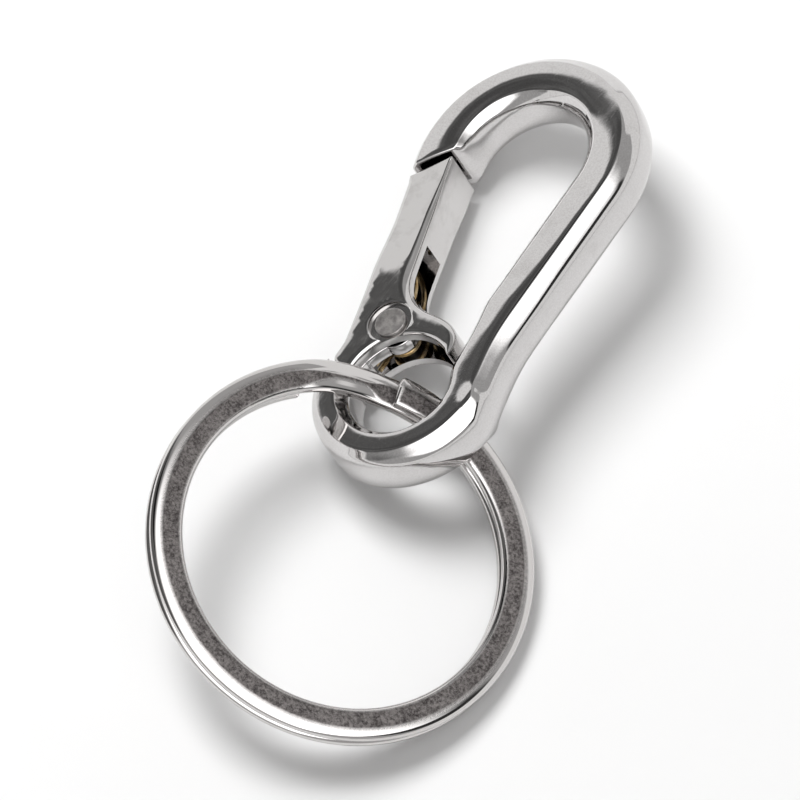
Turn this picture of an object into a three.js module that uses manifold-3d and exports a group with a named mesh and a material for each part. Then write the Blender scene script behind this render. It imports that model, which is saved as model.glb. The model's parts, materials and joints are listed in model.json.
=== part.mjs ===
// A carabiner keyring: a cast snap hook with a sprung gate, and a double-coil split ring
// threaded through its eye. Units are millimetres, +Z is up.
//
// The snap hook is drawn flat, in its own plane: the origin is the centre of the eye, +X points
// to the spine, +Y to the hook and +Z out of the front face. The ring is drawn flat about its own
// centre. Two groups then lay both pieces on the table the way they come to rest there: the hook
// rolled onto its gate side, with the ring holding its spine side up.

import * as THREE from 'three';
import { mergeVertices } from 'three/addons/utils/BufferGeometryUtils.js';
import Module from 'manifold-3d';

const wasm = await Module();
wasm.setup();

// ---------------------------------------------------------------- driving dimensions

const BODY_THICKNESS = 4.8;
const BODY_BEVEL = 0.8;
const EYE_HOLE_RADIUS = 4.1;
const EYE_RADIUS = 7.1;
const ARCH_CENTRE = [-3.0, 20.9];
const ARCH_INNER_RADIUS = 5.1;
const ARCH_RADIUS = 9.15;
const BEAK_ANGLE = 209; // degrees round the arch to the beak's tip
const BAR_END_ANGLE = 215; // the bar runs past the beak, and is then cut to it
const SPINE_LOW_OUTSIDE = 7.5; // heights where the spine starts to curve into the eye
const SPINE_LOW_INSIDE = 8.6;
const EYE_RIGHT = 20; // degrees round the eye where the spine's outside meets it
const EYE_RIGHT_INSIDE = 40;
const EYE_END = -195; // degrees round the eye to its end, under the gate's pivot

const GATE_THICKNESS = 4.5;
const GATE_BEVEL = 0.3;
const GATE_LEAN = 0.327; // sideways run of the gate's outer edge per unit of height
const GATE_CORNER = [-7.6, 5.6]; // the foot of the outer edge
const GATE_TOP_INSIDE = -8.25; // x of the slanted top's inner end
const GATE_WAIST = [-5.2, 9.2]; // where the inner edge starts to curve into the foot
const CHEEK_HEEL = [-6.3, 1.3];
const WEB_END_INSIDE = -5.87; // x of the web's inner face where it ends
const FOOT_TIP_ANGLE = 53; // degrees round the eye
const FOOT_END_ANGLE = 191;
const CHEEK_END_ANGLE = 241; // degrees round the pin
const CHANNEL_WIDTH = 2.5;
const CHANNEL_TOP = 11.4;
const WEB_THICKNESS = 0.78;
const WEB_END = 2.9;
const BEAK_GAP = 0.35;
const FOOT_SETBACK = 0.2; // of the foot's lower edge behind the eye's hole

const PIN_CENTRE = [-3.8, 4.25];
const PIN_RADIUS = 0.8;
const PIN_HEAD_RADIUS = 1.25;
const PIN_HEAD_HEIGHT = 0.25;
const RECESS_RADIUS = 1.7;
const RECESS_DEPTH = 0.35;
const RUNNING_GAP = 0.1; // between the pin and the lug that it turns in
const PIN_SEAT = 0.06; // between the pin and the cheeks that it is riveted to
const CHEEK_END_RADIUS = 5.15; // the cheeks end on an arc about the pin
const SHOULDER_GAP = 0.3;

const TONGUE_THICKNESS = 2.1;
const TONGUE_INNER_RADIUS = 4.4;
const TONGUE_OUTER_RADIUS = 6.0;
const LUG_RADIUS = 1.6;
const LUG_BACK = -0.05; // the lug fills the front half of the channel, the spring the back half
const STEP_HEIGHT = 1.4;

const WIRE_RADIUS = 0.2;
const COIL_RADIUS = 1.18;
const COIL_PITCH = 0.43;
const COIL_BACK = -0.85;
const COIL_START = 0.14; // the fractions of the wire's run where the coil starts and ends
const COIL_END = 0.54;
const SHORT_LEG_END = 1.75;
const LONG_LEG = 6.3;
const LEG_LEAN = 0.3;
const LEG_BEND = 2.9;

const RING_RADIUS = 15.0;
const RING_WIDTH = 2.55;
const LAYER_THICKNESS = 0.95;
const LAYER_GAP = 0.08;
const RING_EDGE = 0.32;
const CROSSOVER = THREE.MathUtils.degToRad(28);
const END_GAP = THREE.MathUtils.degToRad(2);

// How the two pieces lie on the table.
const EYE_POSITION = [-3.018, -0.808, 5.075];
const BODY_PITCH = THREE.MathUtils.degToRad(6.26);
const BODY_ROLL = THREE.MathUtils.degToRad(-26.65);
const RING_DISTANCE = 13.9;
const RING_HEADING = THREE.MathUtils.degToRad(-75.7);
const RING_TURN = THREE.MathUtils.degToRad(-43.9);
const RING_START = THREE.MathUtils.degToRad(186); // the free end and the crossover lie in the eye

// Vertices nearer to each other than this are one vertex.
const MERGE_DISTANCE = 1e-5;

// ---------------------------------------------------------------- solids

// A closed three.js geometry as a manifold solid.
function solid(geometry) {
  const bare = geometry.clone();
  bare.deleteAttribute('normal');
  bare.deleteAttribute('uv');
  const merged = mergeVertices(bare, MERGE_DISTANCE);
  const mesh = new wasm.Mesh({
    numProp: 3,
    vertProperties: Float32Array.from(merged.attributes.position.array),
    triVerts: Uint32Array.from(merged.index.array),
  });
  return new wasm.Manifold(mesh);
}

// A manifold solid as a three.js geometry.
function geometryOf(body) {
  const mesh = body.getMesh();
  const geometry = new THREE.BufferGeometry();
  geometry.setAttribute('position', new THREE.BufferAttribute(mesh.vertProperties, 3));
  geometry.setIndex(new THREE.BufferAttribute(mesh.triVerts, 1));
  geometry.computeVertexNormals();
  return geometry;
}

// An outline made into a slab between two heights.
function slab(outline, bottom, top, curveSegments = 12) {
  const geometry = new THREE.ExtrudeGeometry(outline, {
    depth: top - bottom,
    bevelEnabled: false,
    curveSegments,
  });
  geometry.translate(0, 0, bottom);
  return solid(geometry);
}

// An outline made into a casting of the given thickness, centred on z = 0, with eased edges.
function casting(outline, thickness, bevel, curveSegments) {
  const geometry = new THREE.ExtrudeGeometry(outline, {
    depth: thickness - 2 * bevel,
    bevelThickness: bevel,
    bevelSize: bevel,
    bevelOffset: -bevel,
    bevelSegments: 2,
    curveSegments,
  });
  geometry.translate(0, 0, bevel - thickness / 2);
  return solid(geometry);
}

// A round disc or post about the pin's axis, between two heights.
function post(radius, bottom, top) {
  const geometry = new THREE.CylinderGeometry(radius, radius, top - bottom, 40);
  geometry.rotateX(Math.PI / 2);
  geometry.translate(PIN_CENTRE[0], PIN_CENTRE[1], (bottom + top) / 2);
  return solid(geometry);
}

// The x of the gate's outer edge at a height.
function gateOuter(y) {
  return GATE_CORNER[0] - (y - GATE_CORNER[1]) * GATE_LEAN;
}

// The point at an angle on a circle.
function onCircle(centre, radius, degrees) {
  const angle = THREE.MathUtils.degToRad(degrees);
  return [centre[0] + radius * Math.cos(angle), centre[1] + radius * Math.sin(angle)];
}

// Adds an arc about a centre to an outline, between two angles in degrees.
function arc(outline, centre, radius, from, to) {
  const start = THREE.MathUtils.degToRad(from);
  const end = THREE.MathUtils.degToRad(to);
  outline.absarc(centre[0], centre[1], radius, start, end, to < from);
}

// ---------------------------------------------------------------- carabiner body

// One bar: the hook's arch, the straight spine and the eye, which curls round to the gate's pivot.
// It runs round the outside first, and both its ends are round until they are cut to shape.
function bodyOutline() {
  const spineOuter = ARCH_CENTRE[0] + ARCH_RADIUS;
  const spineInner = ARCH_CENTRE[0] + ARCH_INNER_RADIUS;
  const beakInner = ARCH_CENTRE[0] - ARCH_INNER_RADIUS;
  const hookEnd = onCircle(ARCH_CENTRE, ARCH_RADIUS, BAR_END_ANGLE);
  const outline = new THREE.Shape();
  arc(outline, ARCH_CENTRE, ARCH_RADIUS, BAR_END_ANGLE, 0);
  outline.lineTo(spineOuter, SPINE_LOW_OUTSIDE);
  const flare = onCircle([0, 0], EYE_RADIUS, EYE_RIGHT);
  outline.quadraticCurveTo(spineOuter, 3.9, flare[0], flare[1]);
  arc(outline, [0, 0], EYE_RADIUS, EYE_RIGHT, EYE_END);
  const eyeMiddle = onCircle([0, 0], (EYE_RADIUS + EYE_HOLE_RADIUS) / 2, EYE_END);
  arc(outline, eyeMiddle, (EYE_RADIUS - EYE_HOLE_RADIUS) / 2, EYE_END, EYE_END - 180);
  arc(outline, [0, 0], EYE_HOLE_RADIUS, EYE_END, EYE_RIGHT_INSIDE);
  outline.quadraticCurveTo(2.9, 6.0, spineInner, SPINE_LOW_INSIDE);
  outline.lineTo(spineInner, ARCH_CENTRE[1]);
  arc(outline, ARCH_CENTRE, ARCH_INNER_RADIUS, 0, 180);
  outline.lineTo(beakInner, hookEnd[1]);
  outline.closePath();
  return outline;
}

// The half-plane below the beak: its upper edge is the slanted face that the gate stops against.
function belowBeakOutline() {
  const tip = onCircle(ARCH_CENTRE, ARCH_RADIUS, BEAK_ANGLE);
  const reach = 6;
  const outline = new THREE.Shape();
  outline.moveTo(tip[0] - reach, tip[1] - reach);
  outline.lineTo(tip[0] + reach, tip[1] - reach);
  outline.lineTo(tip[0] + reach, tip[1] + reach);
  outline.closePath();
  return outline;
}

// The tongue reaches up between the gate's cheeks as a ring sector of the eye.
function tongueOutline() {
  const outline = new THREE.Shape();
  arc(outline, [0, 0], TONGUE_OUTER_RADIUS, 205, 128);
  arc(outline, [0, 0], TONGUE_INNER_RADIUS, 128, 205);
  outline.closePath();
  return outline;
}

// Everything in the back half of the channel above the step, where the spring's coil lies.
function springRoomOutline() {
  const outline = new THREE.Shape();
  outline.moveTo(-9, STEP_HEIGHT);
  outline.lineTo(0, STEP_HEIGHT);
  outline.lineTo(0, 9);
  outline.lineTo(-9, 9);
  outline.closePath();
  return outline;
}

function carabinerBody() {
  const half = TONGUE_THICKNESS / 2;
  const shoulder = post(CHEEK_END_RADIUS + SHOULDER_GAP, -BODY_THICKNESS, BODY_THICKNESS);
  const belowBeak = slab(belowBeakOutline(), -BODY_THICKNESS, BODY_THICKNESS);
  const bar = casting(bodyOutline(), BODY_THICKNESS, BODY_BEVEL, 28);
  const tongue = slab(tongueOutline(), -half, half, 20);
  const room = slab(springRoomOutline(), -BODY_THICKNESS, LUG_BACK);
  const lug = post(LUG_RADIUS, LUG_BACK, half);
  const bore = post(PIN_RADIUS + RUNNING_GAP, -BODY_THICKNESS, BODY_THICKNESS);
  return bar.subtract(belowBeak).subtract(shoulder).add(tongue.subtract(room)).add(lug).subtract(bore);
}

// ---------------------------------------------------------------- gate

// The lever from its slanted top, down the inner edge to the foot that closes the eye, back
// along the eye's hole and round the cheeks' lower end, then up the outer edge.
function gateOutline() {
  const beak = onCircle(ARCH_CENTRE, ARCH_RADIUS, BEAK_ANGLE);
  const topFall = beak[1] - beak[0] - BEAK_GAP * Math.SQRT2; // y - x along the slanted top
  const topY = (topFall + GATE_CORNER[0] + GATE_CORNER[1] * GATE_LEAN) / (1 + GATE_LEAN);
  const lowerRadius = EYE_HOLE_RADIUS + FOOT_SETBACK;
  const footTip = onCircle([0, 0], lowerRadius, FOOT_TIP_ANGLE);
  const cheekEnd = onCircle(PIN_CENTRE, CHEEK_END_RADIUS, CHEEK_END_ANGLE);
  const outline = new THREE.Shape();
  outline.moveTo(gateOuter(topY), topY);
  outline.lineTo(GATE_TOP_INSIDE, topFall + GATE_TOP_INSIDE);
  outline.lineTo(...GATE_WAIST);
  outline.bezierCurveTo(-4.6, 7.3, -3.4, 6.2, -1.2, 6.2);
  outline.bezierCurveTo(1.4, 6.3, 2.6, 5.4, footTip[0], footTip[1]);
  arc(outline, [0, 0], lowerRadius, FOOT_TIP_ANGLE, FOOT_END_ANGLE);
  outline.lineTo(cheekEnd[0], cheekEnd[1]);
  outline.lineTo(...CHEEK_HEEL);
  outline.lineTo(...GATE_CORNER);
  outline.closePath();
  return outline;
}

// The hollow between the cheeks: open below to the eye and its tongue, and open through the
// inner wall in a window halfway up.
function channelOutline() {
  const outline = new THREE.Shape();
  outline.moveTo(-10, -3);
  outline.lineTo(-10, WEB_END);
  outline.lineTo(WEB_END_INSIDE, WEB_END);
  outline.lineTo(GATE_CORNER[0] + WEB_THICKNESS, GATE_CORNER[1]);
  outline.lineTo(gateOuter(CHANNEL_TOP) + WEB_THICKNESS, CHANNEL_TOP);
  outline.lineTo(-4.5, CHANNEL_TOP);
  outline.lineTo(-2.7, 7.7);
  outline.lineTo(-4.3, 6.85);
  outline.bezierCurveTo(-3.4, 5.75, -2.4, 5.4, -1.2, 5.4);
  outline.bezierCurveTo(0.3, 5.45, 0.9, 5.3, 1.8, 4.3);
  outline.lineTo(1.8, 2);
  outline.lineTo(-2, -3);
  outline.closePath();
  return outline;
}

function gate() {
  const halfGate = GATE_THICKNESS / 2;
  const halfChannel = CHANNEL_WIDTH / 2;
  const lever = casting(gateOutline(), GATE_THICKNESS, GATE_BEVEL, 8);
  const channel = slab(channelOutline(), -halfChannel, halfChannel);
  const bore = post(PIN_RADIUS + PIN_SEAT, -GATE_THICKNESS, GATE_THICKNESS);
  const frontRecess = post(RECESS_RADIUS, halfGate - RECESS_DEPTH, GATE_THICKNESS);
  const backRecess = post(RECESS_RADIUS, -GATE_THICKNESS, RECESS_DEPTH - halfGate);
  return lever.subtract(channel).subtract(bore).subtract(frontRecess).subtract(backRecess);
}

// ---------------------------------------------------------------- pivot pin

// A rivet with a flat head in the recess of each cheek.
function pivotPin() {
  const headTop = GATE_THICKNESS / 2 - 0.05;
  const headBottom = headTop - PIN_HEAD_HEIGHT;
  const shank = post(PIN_RADIUS, -headBottom, headBottom);
  const frontHead = post(PIN_HEAD_RADIUS, headBottom, headTop);
  const backHead = post(PIN_HEAD_RADIUS, -headTop, -headBottom);
  return shank.add(frontHead).add(backHead);
}

// ---------------------------------------------------------------- gate spring

// A torsion spring of round wire: a short leg that stands on the tongue's step, one turn round the
// pin in the back half of the channel, and a long leg up the channel that bends over to the web.
class SpringCurve extends THREE.Curve {
  getPoint(t) {
    const [pinX, pinY] = PIN_CENTRE;
    const side = pinX - COIL_RADIUS;
    if (t < COIL_START) {
      const s = t / COIL_START;
      return new THREE.Vector3(side, THREE.MathUtils.lerp(SHORT_LEG_END, pinY, s), COIL_BACK);
    }
    if (t < COIL_END) {
      const s = (t - COIL_START) / (COIL_END - COIL_START);
      const angle = Math.PI - 2 * Math.PI * s;
      const x = pinX + COIL_RADIUS * Math.cos(angle);
      return new THREE.Vector3(x, pinY + COIL_RADIUS * Math.sin(angle), COIL_BACK + COIL_PITCH * s);
    }
    const s = (t - COIL_END) / (1 - COIL_END);
    const x = side - LEG_LEAN * s - LEG_BEND * s ** 4;
    return new THREE.Vector3(x, pinY + LONG_LEG * s, COIL_BACK + COIL_PITCH);
  }
}

function gateSpring() {
  const section = new THREE.Shape();
  section.absarc(0, 0, WIRE_RADIUS, 0, 2 * Math.PI);
  const geometry = new THREE.ExtrudeGeometry(section, {
    steps: 64,
    curveSegments: 8,
    bevelEnabled: false,
    extrudePath: new SpringCurve(),
  });
  return solid(geometry);
}

// ---------------------------------------------------------------- split ring

// Height of the wire's middle along the ring: two flat turns, one on the other, and a crossover
// where the upper turn goes down to the lower one between the two free ends.
function layerHeight(angle) {
  const rise = (LAYER_THICKNESS + LAYER_GAP) / 2;
  const down = THREE.MathUtils.smoothstep(angle, 2 * Math.PI - CROSSOVER, 2 * Math.PI);
  return rise * (1 - 2 * down);
}

// A straight flat wire, wound round the ring's axis twice.
function splitRing() {
  const halfWidth = RING_WIDTH / 2;
  const halfHeight = LAYER_THICKNESS / 2;
  const middle = RING_RADIUS - halfWidth;
  const section = new THREE.Shape();
  section.moveTo(-halfWidth + RING_EDGE, -halfHeight);
  section.lineTo(halfWidth - RING_EDGE, -halfHeight);
  section.lineTo(halfWidth, -halfHeight + RING_EDGE);
  section.lineTo(halfWidth, halfHeight - RING_EDGE);
  section.lineTo(halfWidth - RING_EDGE, halfHeight);
  section.lineTo(-halfWidth + RING_EDGE, halfHeight);
  section.lineTo(-halfWidth, halfHeight - RING_EDGE);
  section.lineTo(-halfWidth, -halfHeight + RING_EDGE);
  section.closePath();
  const wireAngle = 4 * Math.PI - CROSSOVER - 2 * END_GAP;
  const geometry = new THREE.ExtrudeGeometry(section, {
    depth: wireAngle,
    steps: 168,
    bevelEnabled: false,
  });
  const position = geometry.attributes.position;
  for (let i = 0; i < position.count; i += 1) {
    const angle = END_GAP + position.getZ(i);
    const radius = middle + position.getX(i);
    const height = layerHeight(angle) + position.getY(i);
    const turned = RING_START - angle;
    position.setXYZ(i, radius * Math.cos(turned), radius * Math.sin(turned), height);
  }
  return solid(geometry);
}

// ---------------------------------------------------------------- assembly

function part(name, body, color, roughness) {
  const material = new THREE.MeshStandardMaterial({ color, roughness, metalness: 1 });
  const mesh = new THREE.Mesh(geometryOf(body), material);
  mesh.name = name;
  return mesh;
}

const keyring = new THREE.Group();

const hook = new THREE.Group();
hook.position.set(...EYE_POSITION);
hook.rotation.set(BODY_PITCH, BODY_ROLL, 0);
hook.add(part('carabiner_body', carabinerBody(), 0xd4d2d0, 0.08));
hook.add(part('gate', gate(), 0xd0cecc, 0.1));
hook.add(part('pivot_pin', pivotPin(), 0x8f8a86, 0.4));
hook.add(part('gate_spring', gateSpring(), 0xa8864a, 0.3));
keyring.add(hook);

// The ring hangs from the eye's centre: it is turned about the line that joins the two centres.
const heading = new THREE.Group();
heading.rotation.z = RING_HEADING;
const turn = new THREE.Group();
turn.rotation.x = RING_TURN;
const ring = part('split_ring', splitRing(), 0xb4b1af, 0.25);
ring.position.x = RING_DISTANCE;
turn.add(ring);
heading.add(turn);
hook.add(heading);

export default keyring;
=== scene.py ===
# %% [markdown]
# # A carabiner keyring
# A cast snap hook, its sprung gate, the rivet that the gate turns on, the wire spring behind it,
# and a double-coil split ring. The CAD part gives every place and every axis. This script builds
# the fine surface of each piece round it, as points worked out by formula in the hook's own flat
# drawing plane in millimetres, and one function lays them in the row's frame.

# %% Load the frame
import json

import bmesh
import bpy
import numpy as np
from mathutils import Matrix, Vector
from mathutils.geometry import delaunay_2d_cdt


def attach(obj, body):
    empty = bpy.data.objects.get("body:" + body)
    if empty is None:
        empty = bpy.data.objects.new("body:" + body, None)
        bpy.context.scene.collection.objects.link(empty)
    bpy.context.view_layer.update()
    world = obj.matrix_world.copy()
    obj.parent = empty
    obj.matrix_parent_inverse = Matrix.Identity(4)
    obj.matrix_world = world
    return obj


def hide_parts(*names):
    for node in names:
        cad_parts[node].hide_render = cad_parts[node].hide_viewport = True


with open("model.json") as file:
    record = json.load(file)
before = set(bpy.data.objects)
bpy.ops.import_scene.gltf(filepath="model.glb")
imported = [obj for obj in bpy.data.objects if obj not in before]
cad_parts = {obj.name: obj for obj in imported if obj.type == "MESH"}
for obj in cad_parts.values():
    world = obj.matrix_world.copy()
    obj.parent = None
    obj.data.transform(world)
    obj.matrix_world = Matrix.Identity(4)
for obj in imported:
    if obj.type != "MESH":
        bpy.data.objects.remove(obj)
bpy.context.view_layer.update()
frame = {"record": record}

# %% [markdown]
# ## The drawing plane
# The hook lies tilted on the table, so its points would be hard to think about in the row's frame.
# A flat drawing is easier: the eye's centre is the origin, x runs to the spine, y to the hook and z
# out of the front face. The two joints of the record fix that plane: the ring's joint sits at the
# eye's centre, and the gate's hinge points straight down through the hook.

# %% The hook's axes in the row's frame
MM = 0.001
joints = {joint["name"]: joint for joint in frame["record"]["behaviour"]["joints"]}
EYE = np.array(joints["ring_swivel"]["pos_m"])
hook_z = -np.array(joints["gate_hinge"]["axis"])
hook_y = np.array([0, hook_z[2], -hook_z[1]])
hook_y /= np.linalg.norm(hook_y)
HOOK_AXES = np.array([np.cross(hook_y, hook_z), hook_y, hook_z])


def place(points):
    """Hook millimetres to row metres: the eye's centre plus x, y and z steps along the three axes."""
    return EYE + MM * (np.asarray(points, float) @ HOOK_AXES)


pin_place = np.array(joints["gate_hinge"]["pos_m"]) - EYE
PIN = (HOOK_AXES @ pin_place)[:2] / MM
print("pin centre in the drawing plane, mm:", PIN.round(3))

# %% [markdown]
# ## One way to make every skin
# Each piece is a grid of points: rows run along the piece and columns run round its section. A grid
# whose columns close on themselves is a tube, and a tube whose end rows shrink to a point is a
# closed solid. The same function turns any such grid into a mesh with a UV map, and turns the faces
# outwards by the sign of the enclosed volume.

# %% From a grid of points to a mesh
WELD = 1e-7  # metres


def enclosed_volume(mesh):
    """Cubic metres inside a closed mesh: a sixth of the sum of its triangles' corner products."""
    mesh.calc_loop_triangles()
    corners = np.empty(len(mesh.loop_triangles) * 3, np.int32)
    mesh.loop_triangles.foreach_get("vertices", corners)
    spots = np.empty(len(mesh.vertices) * 3)
    mesh.vertices.foreach_get("co", spots)
    a, b, c = spots.reshape(-1, 3)[corners].reshape(-1, 3, 3).transpose(1, 0, 2)
    return np.einsum("ij,ij->", a, np.cross(b, c)) / 6


def skin(name, grid, ring=False, closed=True):
    """A mesh object from a grid (rows, columns, 3): columns always close, rows close if it is a ring.
    An open grid is left for its faces to be added."""
    rows, columns = grid.shape[:2]
    index = np.arange(rows * columns).reshape(rows, columns)
    index = np.concatenate([index, index[:, :1]], axis=1)
    if ring:
        index = np.concatenate([index, index[:1]])
    quads = np.stack([index[:-1, :-1], index[:-1, 1:], index[1:, 1:], index[1:, :-1]], axis=-1)
    mesh = bpy.data.meshes.new(name)
    mesh.from_pydata(place(grid.reshape(-1, 3)).tolist(), [], quads.reshape(-1, 4).tolist())
    along, around = np.meshgrid(
        np.linspace(0, 1, index.shape[0]), np.linspace(0, 1, index.shape[1]), indexing="ij"
    )
    uv = np.stack([along, around], axis=-1)
    corners = np.stack([uv[:-1, :-1], uv[:-1, 1:], uv[1:, 1:], uv[1:, :-1]], axis=2)
    mesh.uv_layers.new(name="UVMap").data.foreach_set("uv", corners.ravel())
    if closed:
        finish_skin(mesh)
    piece = bpy.data.objects.new(name, mesh)
    bpy.context.scene.collection.objects.link(piece)
    return piece


def finish_skin(mesh):
    """Closes poles by welding, turns the faces outwards and shades them smooth."""
    work = bmesh.new()
    work.from_mesh(mesh)
    bmesh.ops.remove_doubles(work, verts=work.verts, dist=WELD)
    bmesh.ops.dissolve_degenerate(work, edges=work.edges, dist=WELD)
    work.to_mesh(mesh)
    work.free()
    if enclosed_volume(mesh) < 0:
        mesh.flip_normals()
    mesh.shade_smooth()


def joined(name, parts):
    """Several shells of one casting as one object."""
    work = bmesh.new()
    for part in parts:
        work.from_mesh(part.data)
        bpy.data.objects.remove(part)
    mesh = bpy.data.meshes.new(name)
    work.to_mesh(mesh)
    work.free()
    piece = bpy.data.objects.new(name, mesh)
    bpy.context.scene.collection.objects.link(piece)
    return piece


# %% [markdown]
# ## Lines in the drawing plane
# The outlines are arcs, straight runs and easy curves, laid end to end. A line is walked at even
# steps so that rows of the skin come out even, and a running average eases the joins, as casting
# and polishing do.

# %% Arcs, curves, even steps and easing


def arc(centre, radius, start, end, count):
    """Points on a circle between two angles in degrees."""
    angle = np.radians(np.linspace(start, end, count))
    return np.asarray(centre) + radius * np.stack([np.cos(angle), np.sin(angle)], -1)


def bezier(points, count):
    """A Bezier curve by de Casteljau's rule: the control line is halved by t until one point is left."""
    t = np.linspace(0, 1, count)[:, None]
    line = [np.asarray(point, float) + 0 * t for point in points]
    while len(line) > 1:
        line = [(1 - t) * a + t * b for a, b in zip(line, line[1:])]
    return line[0]


def lengths(line):
    """How far along a line each of its points is."""
    return np.concatenate([[0], np.cumsum(np.linalg.norm(np.diff(line, axis=0), axis=1))])


def walk(line, stops):
    """The points of a line at given distances along it."""
    run = lengths(line)
    return np.stack([np.interp(stops, run, line[:, k]) for k in range(line.shape[1])], -1)


def even(line, count):
    """A line walked at even steps."""
    return walk(line, np.linspace(0, lengths(line)[-1], count))


def eased(line, reach):
    """A running average over 2 * reach + 1 points; the ends stay where they are."""
    weight = np.hanning(2 * reach + 3)[1:-1]
    head = 2 * line[0] - line[reach:0:-1]
    tail = 2 * line[-1] - line[-2 : -reach - 2 : -1]
    padded = np.concatenate([head, line, tail])
    columns = [np.convolve(padded[:, k], weight / weight.sum(), "valid") for k in range(line.shape[1])]
    return np.stack(columns, -1)


# %% [markdown]
# ## The hook's bar
# On the real hook one bar makes the arch, the spine and the eye. It could be an extruded outline
# with a bevel, but a polished casting has no such even edge: its front is slightly crowned, its
# shoulders are chamfers with soft corners and its walls bulge. So the bar is a section carried
# between an inner and an outer outline, and the section's sizes change along the way.

# %% The section: an octagon with rounded corners, a crowned front and bulging walls
TURNS = np.radians([180, 225, 270, 315, 0, 45, 90, 135])  # direction of travel into each corner
CORNER_STEPS = 6
FLAT_STEPS = 5


def section(half_width, half_height, inner, outer, edge, wall):
    """Rounded octagon. Every argument is one number per row. The chamfers are inner and outer wide,
    the corners at the front and back have the radius edge and those at the walls the radius wall.
    Each corner is an arc that touches both its sides, and each side is a straight run between arcs.
    Returns (rows, columns, 2): the way across the bar and the height."""
    w, h, a, b = half_width, half_height, inner, outer
    inner_side = [(a - w, h), (-w, h - a), (-w, a - h), (a - w, -h)]
    outer_side = [(w - b, -h), (w, b - h), (w, h - b), (w - b, h)]
    spots = inner_side + outer_side
    corner = np.stack([np.stack(spot, -1) for spot in spots], 1)
    radius = np.stack([edge, wall, wall, edge, edge, wall, wall, edge], 1)[..., None]
    along = np.stack([np.cos(TURNS), np.sin(TURNS)], -1)
    left = np.stack([-np.sin(TURNS), np.cos(TURNS)], -1)
    centre = corner - np.tan(np.pi / 8) * radius * along + radius * left
    turn = TURNS[:, None] - np.pi / 2 + np.linspace(0, np.pi / 4, CORNER_STEPS)
    arcs = centre[:, :, None] + radius[:, :, None] * np.stack([np.cos(turn), np.sin(turn)], -1)
    share = (np.arange(1, FLAT_STEPS + 1) / (FLAT_STEPS + 1))[:, None]
    start, end = arcs[:, :, -1:], np.roll(arcs[:, :, :1], -1, axis=1)
    flats = (1 - share) * start + share * end
    return np.concatenate([arcs, flats], axis=2).reshape(len(w), -1, 2)


# %% The bar's two outlines, from the beak round the arch and down the spine to the eye
HALF_THICK = 2.4
HOLE_RADIUS, EYE_RADIUS = 4.1, 7.1
EYE_RIGHT_RADIUS = 7.45
ARCH = np.array([-3.0, 20.9])
ARCH_INSIDE, ARCH_OUTSIDE = 5.1, 9.15
BEAK_ANGLE = 209
BEAK_BACK = 0.4  # how far the eased end reaches back from the beak's tip
STEP = 0.24  # between two rows
FLARE_TOP = 8.6  # where the spine starts to widen into the eye

beak_tip = arc(ARCH, ARCH_OUTSIDE, BEAK_ANGLE, BEAK_ANGLE, 1)[0]
slant = beak_tip[1] - beak_tip[0]  # y - x all along the beak's slanted end
spine_inside, spine_outside = ARCH[0] + ARCH_INSIDE, ARCH[0] + ARCH_OUTSIDE
beak_inside = ARCH[0] - ARCH_INSIDE


def beak_rulings(back):
    """The inner and outer ends of lines parallel to the beak's end, a given distance back from it."""
    rise = slant + np.sqrt(2) * back
    sine = (rise - ARCH[1] + ARCH[0]) / (np.sqrt(2) * ARCH_OUTSIDE)
    angle = np.pi / 4 + np.pi - np.arcsin(sine)
    outside = ARCH + ARCH_OUTSIDE * np.stack([np.cos(angle), np.sin(angle)], -1)
    inside = np.stack([beak_inside + 0 * back, beak_inside + rise], -1)
    return inside, outside, np.degrees(angle)


def bar_rulings():
    """Matched points of the two outlines as far as the eye's right side, in even steps."""
    inside, outside, angle = beak_rulings(np.array([BEAK_BACK]))
    left = ARCH + np.array([-ARCH_INSIDE, 0])
    pairs = [
        (bezier([inside[0], left], 16), arc(ARCH, ARCH_OUTSIDE, angle[0], 180, 16)),
        (arc(ARCH, ARCH_INSIDE, 180, 0, 95), arc(ARCH, ARCH_OUTSIDE, 180, 0, 95)),
    ]
    count = int((ARCH[1] - FLARE_TOP) / STEP)
    spine = [(x, y) for y in (ARCH[1], FLARE_TOP) for x in (spine_inside, spine_outside)]
    pairs.append((bezier(spine[0::2], count), bezier(spine[1::2], count)))
    hole_meets = arc((0, 0), HOLE_RADIUS, 40, 40, 1)[0]
    inner = [bezier([spine[2], (2.9, 6.0), hole_meets], 30), arc((0, 0), HOLE_RADIUS, 40, 0, 20)]
    rim = (EYE_RIGHT_RADIUS, 0)
    outer = bezier([spine[3], (6.15, 6.2), (6.2, 4.4), (7.3, 2.4), rim], 60)
    pairs.append((even(np.concatenate(inner), 40), even(outer, 40)))
    inner = np.concatenate([pair[0][1:] for pair in pairs])
    outer = np.concatenate([pair[1][1:] for pair in pairs])
    return eased(inner, 3), eased(outer, 4)


inner_line, outer_line = bar_rulings()
print("rows between the beak and the eye:", len(inner_line))

# %% [markdown]
# ## The bar's two ends
# The beak ends in a slanted flat that the gate stops against, and the eye ends in a hollow that
# fits round the gate's pivot. Both edges are eased on the real casting. An eased end is a few more
# rows: as they near the end, the section shrinks inwards by a quarter circle, and then it closes to
# its middle on the end face.

# %% Rows at an eased end
EASE = 0.22
quarter = np.radians(np.linspace(0, 90, 6))
ease_back = np.concatenate([EASE * (1 - np.sin(quarter)), [0, 0, 0]])
ease_inset = np.concatenate([EASE * (1 - np.cos(quarter)), [EASE] * 3])
ease_scale = np.concatenate([np.ones(6), [0.7, 0.35, 0]])

SHOULDER = 5.45  # radius of the hollow about the pin


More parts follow.
